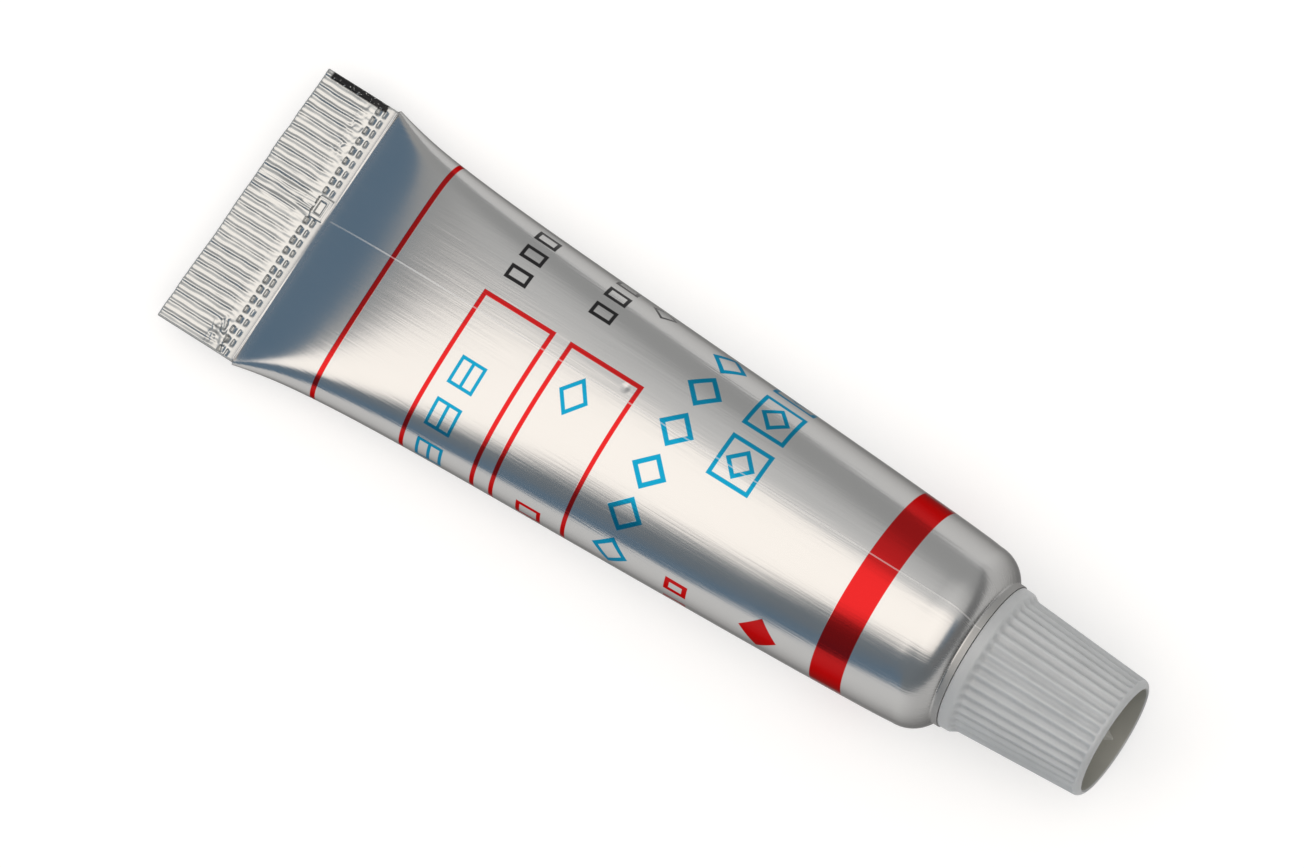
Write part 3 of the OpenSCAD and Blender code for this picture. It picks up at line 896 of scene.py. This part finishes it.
def printed_aluminium():
    """Satin aluminium with drawn streaks, metallic inks, a lacquer lap and a small dent."""
    tones, sizes, body = settings().tube_colours, settings().tube_print, settings().tube_body
    material, tree, shader = new_material("Printed aluminium")
    m = Maths(tree)
    u, v = sheet_place(tree)
    place = m.node("ShaderNodeTexCoord").outputs["Object"]
    marks = place_group(tree, print_group(sizes), along=u, round=v)
    red, blue, printed_black = (marks.outputs[name] for name in ("Red", "Blue", "Black"))
    fine = place_group(tree, streaks_group(), along=u, round=v, width=0.12 * MM, length=3.0 * MM)
    broad = place_group(tree, fine.node_tree, along=u, round=v, width=0.55 * MM, length=12 * MM).outputs[0]
    fine = fine.outputs[0]
    wear = place_group(tree, handling_group(), place=place, cloud_scale=190.0, grain_scale=5200.0)
    clouds, grain = wear.outputs["Clouds"], wear.outputs["Grain"]

    # Where each finish shows
    tail_end = settings().tube_tail.second_pit_x + 0.15 * MM
    strip_end = sizes.edge_strip_x + sizes.edge_strip_l
    land_x = body.sleeve_l + body.shoulder_r
    on_tail = m.step(u, tail_end + 0.6 * MM, tail_end)
    past_tail = m.step(u, tail_end + 0.6 * MM, tail_end + 1.2 * MM)
    near_crease = m.mul(m.step(u, tail_end + 1.5 * MM, tail_end + 0.6 * MM),
                        m.step(u, tail_end - 0.2 * MM, tail_end + 0.1 * MM))
    on_shoulder = m.step(u, body.sleeve_l + 0.2 * MM, body.sleeve_l + 1.8 * MM)
    on_land = m.step(u, land_x - 0.25 * MM, land_x - 0.1 * MM)
    lap = m.step(m.do("ABSOLUTE", m.sub(v, sizes.seam_v)), sizes.seam_w, sizes.seam_w / 3)
    lap = m.mul(lap, past_tail)
    strip_round = m.mul(m.step(v, sizes.edge_strip_v + 0.08 * MM, sizes.edge_strip_v - 0.08 * MM),
                        m.step(v, sizes.edge_strip_v - 2.2 * MM, sizes.edge_strip_v - 2.0 * MM))
    strip_along = m.mul(m.step(u, strip_end, strip_end - 0.1 * MM),
                        m.step(u, sizes.edge_strip_x, sizes.edge_strip_x + 0.2 * MM))
    strip = m.mul(m.mul(strip_round, strip_along), m.step(grain, 0.72, 0.6))
    black = m.largest(printed_black, strip)

    base = rgba(tones.body_metal)
    for mask, tone in ((on_tail, tones.tail_metal), (on_shoulder, tones.bare_metal),
                       (m.mul(m.step(clouds, 0.35, 0.7), 0.1), tones.cloud_metal), (red, tones.red_ink),
                       (blue, tones.blue_ink), (black, tones.black_ink), (m.mul(lap, 0.3), tones.lap)):
        base = m.mix(mask, base, rgba(tone))
    m.link(base, shader.inputs["Base Color"])
    inked = m.largest(m.mul(blue, 0.1), m.mul(red, 0.03), m.mul(black, 0.9))
    m.link(m.sub(1.0, inked), shader.inputs["Metallic"])
    rough = m.sum_of(0.12, (fine, 0.08), (clouds, 0.06), (on_tail, 0.1), (lap, 0.25), (on_shoulder, 0.07),
                     (near_crease, 0.1))
    m.link(m.largest(rough, m.mul(black, 0.35), m.mul(on_land, 0.6)), shader.inputs["Roughness"])
    shader.inputs["Specular Tint"].default_value = (0.3, 0.3, 0.3, 1)

    off_u, off_v = (m.do("DIVIDE", m.sub(along, middle), sizes.dent_r)
                    for along, middle in ((u, sizes.dent_x), (v, sizes.dent_v)))
    off = m.do("SQRT", m.add(m.mul(off_u, off_u), m.mul(off_v, off_v)))
    height = m.sum_of(0, (fine, 0.2), (broad, 0.47), (grain, 0.05), (m.largest(red, blue, black), 0.08),
                      (m.step(off, 1.0, 0.0), -1.2))
    m.bump(shader, height, strength=0.6, distance=0.04 * MM)
    return material


def moulded_plastic(inside=False):
    """Slightly translucent white plastic with a fine moulded grain, and a darker copy for inside the cap whose
    darkness is painted shade.
    """
    tones = settings().tube_colours
    material, tree, shader = new_material("Plastic inside, painted shade" if inside else "Moulded plastic")
    m = Maths(tree)
    place = m.node("ShaderNodeTexCoord").outputs["Object"]
    wear = place_group(tree, bpy.data.node_groups["Handling marks"], place=place, cloud_scale=320.0,
                       grain_scale=6500.0)
    # Inside the cap the darker tone stands in for shade.
    tone = tones.cap_inside_shade if inside else tones.cap_plastic
    m.link(m.mix(m.step(wear.outputs["Clouds"], 0.3, 0.75), rgba(tone), rgba([0.9 * c for c in tone])),
           shader.inputs["Base Color"])
    m.link(m.add(0.36, m.mul(wear.outputs["Clouds"], 0.16)), shader.inputs["Roughness"])
    shader.inputs["IOR"].default_value = 1.5
    shader.inputs["Subsurface Weight"].default_value = 0 if inside else 0.55
    shader.inputs["Subsurface Radius"].default_value = (0.9 * MM, 0.9 * MM, 0.85 * MM)
    shader.inputs["Subsurface Scale"].default_value = 1
    m.bump(shader, wear.outputs["Grain"], strength=0.35, distance=0.01 * MM)
    return material


# Pieces


def add_tail(skin, tail, stations, count):
    """The tail's rings, crowded from the flap's edge to the crease, and its closed end."""
    last = None
    # Pairs of a share of the stations and the share of the tail's length that they reach
    spacing = ((0, 0), (0.08, 0.025), (0.32, 0.58), (0.46, 0.72), (0.5, 0.76), (0.93, 0.95), (1, 1))
    used, reached = zip(*spacing)
    for t in np.interp(np.linspace(0, 1, stations), used, reached):
        x, y, z = tail.section(t, count, tip=0.35)
        ring = skin.ring(x, y, z, x)
        if last is None:
            skin.close_flat(ring)
        else:
            skin.join(last, ring)
        last = ring
    return last


def add_body(skin, form, tail_form, last):
    """The soft body from the crease to the shoulder, with the slow waves of a handled tube."""
    s, tail = form.s, tail_form.s
    waves = Noise(SEED + 5)
    turn = np.arange(s.section_n) / s.section_n
    for j in range(1, s.station_n + 1):
        u = (j / s.station_n) ** 1.6
        middle_x = tail.end_x + (s.sleeve_l - tail.end_x) * u
        late = 1 - smooth_step(tail.end_x, tail.settle_x, middle_x)
        y, z = form.section(middle_x - (tail.end_x - s.tail_l) * late, s.section_n)
        x = middle_x + math.tan(tail.crease_skew) * y * late
        fade = math.sin(math.pi * min(1, u * 1.02)) if u < 0.98 else 0
        push = s.wave_h * fade * waves(x / s.wave_l, 5 * turn) / np.hypot(y, z)
        foot = tail_form.crease_foot(middle_x - tail.end_x, tail_form.rise) / z.max()
        ring = skin.ring(x, y * (1 + 0.3 * push), z * (1 + push + foot), x)
        skin.join(last, ring)
        last = ring
    return last


def add_turned(skin, last, count, line, height=None):
    """Rings of a turned shape from (x, radius) pairs. height adds to the radius round each ring."""
    turn = np.linspace(0, FULL_TURN, count, endpoint=False)
    for x, radius in line:
        r = radius + (height(x, turn) if height else 0)
        ring = skin.ring(x, r * np.cos(turn), r * np.sin(turn), x)
        if last is not None:
            skin.join(last, ring)
        last = ring
    return last


def arc(x, radius, size, first, final, steps):
    """Points of a round corner about (x, radius), with angles from straight outwards towards the cap."""
    return [(x + size * math.sin(a), radius + size * math.cos(a)) for a in np.linspace(first, final, steps)]


def make_tube():
    """The whole tube as one skin, from its folded end over the body and the neck to the foil in its mouth."""
    s, tail_sizes = settings().tube_body, settings().tube_tail
    form = BodyForm(s)
    cap = CapForm(settings().tube_cap, form)
    tail = TailForm(tail_sizes, form)
    skin = Skin()
    last = add_tail(skin, tail, tail_sizes.station_n, tail_sizes.points_n)
    last = add_body(skin, form, tail, last)

    # The shoulder, the land and the round corner at the neck's foot
    round_r = form.tube_r - s.shoulder_r
    land_r = s.land_r - s.bead
    face = cap.land_x + cap.s.land_reach
    reach = math.acos((land_r + 0.07 * MM - round_r) / s.shoulder_r)
    low = s.sleeve_l + s.shoulder_r * math.sin(reach)
    line = arc(s.sleeve_l, round_r, s.shoulder_r, 0.08, reach, 22)
    line += [(low + 0.03 * MM, land_r + 0.02 * MM), (low + 0.07 * MM, land_r), (face - s.bead, land_r)]
    line += arc(face - s.bead, land_r - s.bead, s.bead, 0.3, QUARTER, 5)
    line += [(face, r) for r in np.linspace(land_r - 2 * s.bead, s.neck_r + s.neck_foot_r + 0.1 * MM, 5)]
    line += arc(face + s.neck_foot_r, s.neck_r + s.neck_foot_r, s.neck_foot_r, -QUARTER, -2 * QUARTER, 5)
    last = add_turned(skin, last, s.section_n, line)

    # The threaded neck
    neck_end = cap.land_x + s.neck_l
    start, end = cap.land_x + s.thread_ends[0], neck_end - s.thread_ends[1]
    steps = np.linspace(face + s.neck_foot_r + 0.05 * MM, neck_end - s.lip_r - 0.05 * MM, 72)
    last = add_turned(skin, last, s.section_n, [(x, s.neck_r) for x in steps],
                      lambda x, turn: s.thread_h * thread(x, turn, start, end, s.thread_pitch))

    # The lip, the mouth and the foil, which bulges a little
    foil = neck_end - s.mouth_depth
    line = arc(neck_end - s.lip_r, s.neck_r - s.lip_r, s.lip_r, 0, QUARTER, 5)
    line += [(neck_end, s.mouth_r + 0.4 * MM)]
    edge = s.mouth_edge_r
    line += arc(neck_end - edge, s.mouth_r + edge, edge, QUARTER, 2 * QUARTER, 5)
    line += [(foil + 0.1 * MM, s.mouth_r), (foil, s.mouth_r - 0.1 * MM), (foil, 0.9 * MM),
             (foil + 0.05 * MM, 0.6 * MM)]
    last = add_turned(skin, last, s.section_n, line)
    skin.close_round(last, (foil + 0.06 * MM, 0, 0), foil)
    made = build_object("printed_tube", skin, form.girth, form, cap)
    made.data.materials.append(printed_aluminium())
    return made


def make_cap():
    """The cap as one skin, from the bottom of its bore over its outside to the tip of its spike."""
    form = BodyForm(settings().tube_body)
    cap = CapForm(settings().tube_cap, form)
    s = cap.s
    n = s.flute_count * s.points_per_flute
    skin = Skin()
    x0 = cap.start_x
    end = x0 + s.cap_l

    # The bore, from its bottom to its mouth, with the thread on its wall
    bottom = x0 + cap.bore_depth
    line = [(bottom, 0.4 * MM), (bottom, 2 * MM), (bottom, cap.bore_r - s.bore_round)]
    line += arc(bottom - s.bore_round, cap.bore_r - s.bore_round, s.bore_round, QUARTER, 0.2, 4)
    last = add_turned(skin, None, n, line)
    skin.close_round(np.arange(n), (bottom, 0, 0), 0)
    shift = cap.thread_pitch / 2
    thread_start, thread_end = cap.land_x + s.thread_ends[0], bottom - s.thread_ends[1]
    deepest = cap.bore_depth - s.bore_round - 0.05 * MM
    wall = [(x0 + z, cap.bore_r) for z in np.linspace(deepest, 0.4 * MM, 60)]
    last = add_turned(skin, last, n, wall, lambda x, turn: -s.thread_h * thread(
        x + shift, turn, thread_start, thread_end, cap.thread_pitch))
    bore_faces = len(skin.faces)

    # The plain rim
    foot = x0 + s.rim_shift
    line = [(foot + s.rim_bore_edge, cap.bore_r), (foot, cap.bore_r + s.rim_bore_edge),
            (foot, s.rim_r - 2 * s.rim_edge_r)]
    line += arc(foot + s.rim_edge_r, s.rim_r - s.rim_edge_r, s.rim_edge_r, -QUARTER, 0, 6)
    line += [(foot + 0.4 * MM, s.rim_r), (x0 + s.rim_h - 0.1 * MM, s.rim_r - s.rim_draft / 2),
             (x0 + s.rim_h, s.rim_r - s.rim_draft)]
    last = add_turned(skin, last, n, line)

    def flutes(x, turn):
        """Depth of the flutes, which run out at the rim in a quarter circle and before the rounded end."""
        z = x - x0
        hollow = 1 - (0.5 + 0.5 * np.cos(s.flute_count * turn)) ** s.flute_power
        begin = np.clip((z - s.rim_h - 0.12 * MM) / s.flute_run_l, 0, 1)
        end_z = s.cap_l - 0.62 * s.end_round
        finish = 1 - smooth_step(end_z - 0.25 * MM, end_z, z)
        return -s.flute_depth * hollow * math.sqrt(1 - (1 - begin) ** 2) * finish

    # The fluted side and the rounded end
    grip_start = s.rim_h + s.rim_slope_h
    grip_end = s.cap_l - s.end_round + s.end_round * math.sin(cap.taper)
    heights = np.concatenate([np.linspace(s.rim_h + 0.06 * MM, grip_start + 0.5 * MM, 12),
                              np.linspace(grip_start + 0.8 * MM, grip_end, 20)])
    line = [(x0 + z, cap.outside_r(z)) for z in heights]
    line += arc(end - s.end_round, cap.end_round_r, s.end_round, cap.taper + 0.1, QUARTER, 10)
    last = add_turned(skin, last, n, line, flutes)
    edge = s.hollow_edge_r
    line = arc(end - edge, cap.hollow_r + edge, edge, QUARTER + 0.2, 2 * QUARTER, 5)
    last = add_turned(skin, last, n, line)
    outside_faces = len(skin.faces)

    # The hollow end and its spike
    floor = end - s.hollow_depth
    corner = s.hollow_round
    line = [(end - z, cap.hollow_r) for z in (0.4 * MM, 0.9 * MM, 1.5 * MM, s.hollow_depth - corner)]
    line += [(floor + corner * (1 - math.sin(a)), cap.hollow_r - corner * (1 - math.cos(a)))
             for a in np.linspace(0.3, QUARTER, 4)]
    line += [(floor, 2.6 * MM), (floor, s.spike_r + 0.2 * MM), (floor + 0.06 * MM, s.spike_r + 0.04 * MM)]
    rise = s.spike_h - s.spike_tip_r
    line += [(floor + rise * t, s.spike_r + (s.spike_tip_r - s.spike_r) * t)
             for t in np.linspace(0.1, 1, 8)]
    line += arc(floor + rise, 0, s.spike_tip_r, 0.5, 1.3, 3)
    last = add_turned(skin, last, n, line)
    skin.close_round(last, (floor + s.spike_h, 0, 0), 0)
    made = build_object("fluted_cap", skin, form.girth, form, cap)
    made.data.materials.append(moulded_plastic())
    made.data.materials.append(moulded_plastic(inside=True))
    # The bore and the hollow end get the darker plastic, which is painted shade.
    for i, face in enumerate(made.data.polygons):
        face.material_index = int(i < bore_faces or i >= outside_faces)
    return made


def outward(made):
    """Turns the faces so that they look outwards."""
    bpy.context.view_layer.objects.active = made
    bpy.ops.object.select_all(action="DESELECT")
    made.select_set(True)
    bpy.ops.object.mode_set(mode="EDIT")
    bpy.ops.mesh.select_all(action="SELECT")
    bpy.ops.mesh.normals_make_consistent(inside=False)
    bpy.ops.object.mode_set(mode="OBJECT")


class PASTETUBE_OT_tube(bpy.types.Operator):
    """Make the printed aluminium tube with its folded tail, shoulder and threaded neck"""
    bl_idname = "pastetube.tube"
    bl_label = "Make tube"

    def execute(self, context):
        made = make_tube()
        outward(made)
        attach(made, "tube")
        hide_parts("tube")
        return {"FINISHED"}


class PASTETUBE_OT_cap(bpy.types.Operator):
    """Make the fluted screw cap with its thread and piercing spike"""
    bl_idname = "pastetube.cap"
    bl_label = "Make cap"

    def execute(self, context):
        made = make_cap()
        outward(made)
        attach(made, "cap")
        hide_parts("cap")
        return {"FINISHED"}


# Stage


def make_floor():
    stage = settings().tube_stage
    half = stage.floor_half
    mesh = bpy.data.meshes.new("floor")
    corners = [(-half, -half, 0), (half, -half, 0), (half, half, 0), (-half, half, 0)]
    mesh.from_pydata(corners, [], [(0, 1, 2, 3)])
    floor = bpy.data.objects.new("floor", mesh)
    bpy.context.scene.collection.objects.link(floor)
    material, tree, shader = new_material("Pale floor")
    m = Maths(tree)
    shader.inputs["Base Color"].default_value = rgba(settings().tube_colours.floor)
    shader.inputs["Roughness"].default_value = 0.9
    shader.inputs["Specular IOR Level"].default_value = 0
    seen = m.node("ShaderNodeLightPath")
    rays = ("Is Camera Ray", "Is Glossy Ray", "Is Transmission Ray")
    shows = m.largest(*(seen.outputs[ray] for ray in rays))
    shader.inputs["Emission Color"].default_value = (1, 1, 1, 1)
    m.link(m.mul(shows, stage.floor_glow), shader.inputs["Emission Strength"])
    mesh.materials.append(material)
    floor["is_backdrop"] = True


def make_studio():
    """A soft studio as a world: a warm light overhead, a grey wall on one side and dusk beyond the tail."""
    s = settings().tube_light
    world = bpy.data.worlds.new("Soft studio")
    world.use_nodes = True
    tree = world.node_tree
    tree.nodes.clear()
    m = Maths(tree)
    split = m.node("ShaderNodeSeparateXYZ")
    m.link(m.node("ShaderNodeTexCoord").outputs["Generated"], split.inputs[0])
    x, y, z = split.outputs
    up = m.do("MAXIMUM", z, s.lowest)
    gx, gy = m.do("DIVIDE", x, up), m.do("DIVIDE", y, up)

    def line(slope, height):
        return m.add(m.mul(gx, slope), height)

    def corner(along, across):
        """A part of the ceiling with two soft edges, one along the tube and one across it."""
        return m.mul(m.step(gx, *along), m.step(gy, *across))

    far_side = m.do("MINIMUM", line(*s.gentle_line), s.far_limit)
    past = m.sub(gy, m.do("MINIMUM", line(*s.steep_line), far_side))
    near_side = m.clamp(line(*s.near_line), *s.near_limits)
    light = m.mul(m.step(gx, *s.tail_edge), m.step(gx, *s.cap_edge))
    light = m.mul(light, m.mul(m.step(past, *s.far_edge), m.step(m.sub(gy, near_side), *s.near_edge)))
    wall = m.mul(m.largest(m.step(gx, *s.wall_tail), m.step(gy, *s.wall_back)), m.step(past, *s.wall_edge))
    glow = m.mul(m.step(past, *s.glow_reach), m.step(gx, *s.glow_tail))

    tone = m.mix(corner(s.side_tail, s.side_near), rgba(s.dusk), rgba(s.side))
    tone = m.mix(wall, tone, m.mix(glow, rgba(s.wall), rgba(s.glow)))
    tone = m.mix(corner(s.cap_wall, s.cap_wall_near), tone, rgba(s.cap_side))
    tone = m.mix(light, tone, rgba(s.light))
    background = m.node("ShaderNodeBackground")
    m.link(tone, background.inputs["Color"])
    output = m.node("ShaderNodeOutputWorld")
    tree.links.new(background.outputs[0], output.inputs[0])
    bpy.context.scene.world = world


def make_camera():
    stage = settings().tube_stage
    tilt, side = stage.lean_to_cap, stage.lean_across
    toward = Vector((math.sin(tilt), math.sin(side) * math.cos(tilt), math.cos(side) * math.cos(tilt)))
    target = Vector((stage.target_x, stage.target_y, stage.target_z))
    right = (-toward).cross(Vector((0, 1, 0))).normalized()
    up = right.cross(-toward)
    turn = Matrix((right, up, toward)).transposed() @ Matrix.Rotation(stage.roll, 3, "Z")
    data = bpy.data.cameras.new("camera")
    data.sensor_width = stage.sensor_w
    data.lens = stage.sensor_w * stage.pixels_per_metre * stage.distance / stage.picture_w
    data.clip_start, data.clip_end = 0.01, 20
    camera = bpy.data.objects.new("camera", data)
    camera.matrix_world = Matrix.Translation(target + stage.distance * toward) @ turn.to_4x4()
    bpy.context.scene.collection.objects.link(camera)
    bpy.context.scene.camera = camera
    bpy.context.scene.view_settings.view_transform = "Standard"


class PASTETUBE_OT_stage(bpy.types.Operator):
    """Make the pale floor, the soft studio light and the camera"""
    bl_idname = "pastetube.stage"
    bl_label = "Make stage"

    def execute(self, context):
        make_floor()
        make_studio()
        make_camera()
        return {"FINISHED"}


OPERATORS = (PASTETUBE_OT_tube, PASTETUBE_OT_cap, PASTETUBE_OT_stage)


class PASTETUBE_PT_panel(bpy.types.Panel):
    """Lists the pieces of the tube"""
    bl_idname = "PASTETUBE_PT_panel"
    bl_label = "Paste Tube"
    bl_space_type = "VIEW_3D"
    bl_region_type = "UI"
    bl_category = "Paste Tube"

    def draw(self, context):
        for operator in OPERATORS:
            self.layout.operator(operator.bl_idname)


GROUPS = {"tube_body": BodySizes, "tube_tail": TailSizes, "tube_cap": CapSizes, "tube_print": PrintSizes,
          "tube_colours": FinishColours, "tube_stage": StageSizes, "tube_light": StudioLight}


def register():
    for kind in (*GROUPS.values(), *OPERATORS, PASTETUBE_PT_panel):
        bpy.utils.register_class(kind)
    for name, kind in GROUPS.items():
        setattr(bpy.types.Scene, name, PointerProperty(type=kind))


def unregister():
    for name in GROUPS:
        delattr(bpy.types.Scene, name)
    for kind in (PASTETUBE_PT_panel, *reversed(OPERATORS), *reversed(GROUPS.values())):
        bpy.utils.unregister_class(kind)


def main():
    register()
    bpy.ops.pastetube.tube()
    bpy.ops.pastetube.cap()
    bpy.ops.pastetube.stage()
    ({"cad": [list(corner) for corner in CAD_BOX],
               "visual": [list(corner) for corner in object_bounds()]})


if __name__ == "__main__":
    main()
